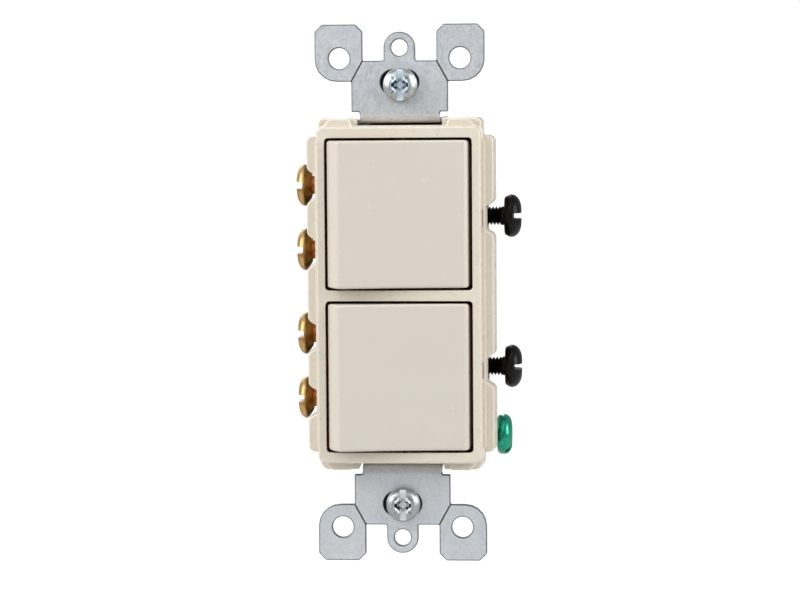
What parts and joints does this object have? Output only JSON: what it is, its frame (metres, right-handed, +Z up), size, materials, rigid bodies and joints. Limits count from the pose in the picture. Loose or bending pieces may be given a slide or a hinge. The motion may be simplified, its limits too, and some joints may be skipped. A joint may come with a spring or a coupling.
{
  "type": "duplex rocker wall switch",
  "caption": "Two three-way rocker switches on one wrap-around steel strap, with side terminal screws, ground screw and captive box screws.",
  "frame": {"origin": "centre of the device in the plane of the wall: the rear faces of the strap's ears, midway between the box screws", "axes": "+Z up along the strap, +X to the right seen from the room, -Y out of the wall towards the room"},
  "size_m": [0.0447, 0.0377, 0.106],
  "materials": {
    "almond_plastic": "light almond, satin moulded face with soft sheen",
    "rocker_plastic": "light almond, fine satin with a slight moulding grain",
    "housing_plastic": "dark thermoset, matt moulded",
    "nylon": "natural nylon, waxy",
    "galvanised_steel": "galvanised, fine spangle with small pits and scuffs",
    "spring_steel": "drawn wire",
    "copper_alloy": "rolled copper alloy",
    "silver": "bright contact silver",
    "terminal_brass": "rolled brass strip",
    "brass_screw": "bright brass plate, turned",
    "black_screw": "black oxide, slightly glossy",
    "green_screw": "green dyed plating, glossy",
    "zinc_screw": "bright zinc plate",
    "fibre": "pressed fibre"
  },
  "bodies": {
    "device": {"strap": "galvanised_steel", "front_cover": "almond_plastic", "rear_housing": "housing_plastic", "fixed_contact_upper_left": "silver", "fixed_contact_upper_right": "silver", "traveller_terminal_upper_outer": "terminal_brass", "traveller_terminal_upper_inner": "terminal_brass", "common_terminal_upper": "terminal_brass", "fixed_contact_lower_left": "silver", "fixed_contact_lower_right": "silver", "traveller_terminal_lower_outer": "terminal_brass", "traveller_terminal_lower_inner": "terminal_brass", "common_terminal_lower": "terminal_brass", "screw_retainer_top": "fibre", "screw_retainer_bottom": "fibre", "housing_screw_1": "zinc_screw", "housing_screw_2": "zinc_screw", "housing_screw_3": "zinc_screw", "housing_screw_4": "zinc_screw"},
    "rocker_upper": {"rocker_upper": "rocker_plastic", "plunger_spring_upper": "spring_steel"},
    "plunger_upper": {"plunger_upper": "nylon"},
    "arm_upper": {"contact_arm_upper": "copper_alloy", "moving_contact_upper_left": "silver", "moving_contact_upper_right": "silver"},
    "rocker_lower": {"rocker_lower": "rocker_plastic", "plunger_spring_lower": "spring_steel"},
    "plunger_lower": {"plunger_lower": "nylon"},
    "arm_lower": {"contact_arm_lower": "copper_alloy", "moving_contact_lower_left": "silver", "moving_contact_lower_right": "silver"},
    "traveller_screw_upper_outer": {"traveller_screw_upper_outer": "brass_screw"},
    "traveller_screw_upper_inner": {"traveller_screw_upper_inner": "brass_screw"},
    "common_screw_upper": {"common_screw_upper": "black_screw"},
    "traveller_screw_lower_outer": {"traveller_screw_lower_outer": "brass_screw"},
    "traveller_screw_lower_inner": {"traveller_screw_lower_inner": "brass_screw"},
    "common_screw_lower": {"common_screw_lower": "black_screw"},
    "ground_screw": {"ground_screw": "green_screw"},
    "box_screw_top": {"box_screw_top": "zinc_screw"},
    "box_screw_bottom": {"box_screw_bottom": "zinc_screw"}
  },
  "joints": [
    {"name": "rocker_upper_tilt", "type": "hinge", "parent": "device", "child": "rocker_upper", "pos_m": [0, -0.0008, 0.01595], "axis": [0, 0, 1], "range_deg": [-13.8, 0]},
    {"name": "plunger_upper_stroke", "type": "slide", "parent": "rocker_upper", "child": "plunger_upper", "axis": [0.1201, -0.9928, 0], "range_m": [0, 0.0008], "stiffness_N_per_m": 400, "springref_m": -0.002, "deforming": ["plunger_spring_upper"]},
    {"name": "arm_upper_rock", "type": "hinge", "parent": "device", "child": "arm_upper", "pos_m": [0, 0.01215, 0.01595], "axis": [0, 0, 1], "range_deg": [0, 14]},
    {"name": "rocker_lower_tilt", "type": "hinge", "parent": "device", "child": "rocker_lower", "pos_m": [0, -0.0008, -0.01595], "axis": [0, 0, 1], "range_deg": [-13.8, 0]},
    {"name": "plunger_lower_stroke", "type": "slide", "parent": "rocker_lower", "child": "plunger_lower", "axis": [0.1201, -0.9928, 0], "range_m": [0, 0.0008], "stiffness_N_per_m": 400, "springref_m": -0.002, "deforming": ["plunger_spring_lower"]},
    {"name": "arm_lower_rock", "type": "hinge", "parent": "device", "child": "arm_lower", "pos_m": [0, 0.01215, -0.01595], "axis": [0, 0, 1], "range_deg": [0, 14]},
    {"name": "traveller_screw_upper_outer_travel", "type": "slide", "parent": "device", "child": "traveller_screw_upper_outer", "axis": [-1, 0, 0], "range_m": [-0.0018, 0.002]},
    {"name": "traveller_screw_upper_inner_travel", "type": "slide", "parent": "device", "child": "traveller_screw_upper_inner", "axis": [-1, 0, 0], "range_m": [-0.0018, 0.002]},
    {"name": "common_screw_upper_travel", "type": "slide", "parent": "device", "child": "common_screw_upper", "axis": [1, 0, 0], "range_m": [-0.0038, 0]},
    {"name": "traveller_screw_lower_outer_travel", "type": "slide", "parent": "device", "child": "traveller_screw_lower_outer", "axis": [-1, 0, 0], "range_m": [-0.0018, 0.002]},
    {"name": "traveller_screw_lower_inner_travel", "type": "slide", "parent": "device", "child": "traveller_screw_lower_inner", "axis": [-1, 0, 0], "range_m": [-0.0018, 0.002]},
    {"name": "common_screw_lower_travel", "type": "slide", "parent": "device", "child": "common_screw_lower", "axis": [1, 0, 0], "range_m": [-0.0038, 0]},
    {"name": "ground_screw_travel", "type": "slide", "parent": "device", "child": "ground_screw", "axis": [1, 0, 0], "range_m": [-0.0006, 0.002]},
    {"name": "box_screw_top_travel", "type": "slide", "parent": "device", "child": "box_screw_top", "axis": [0, -1, 0], "range_m": [0, 0.01]},
    {"name": "box_screw_bottom_travel", "type": "slide", "parent": "device", "child": "box_screw_bottom", "axis": [0, -1, 0], "range_m": [0, 0.01]}
  ],
  "couplings": [
    {"joint": "arm_upper_rock", "follows": "rocker_upper_tilt", "ratio": -1.0145},
    {"joint": "arm_lower_rock", "follows": "rocker_lower_tilt", "ratio": -1.0145}
  ]
}
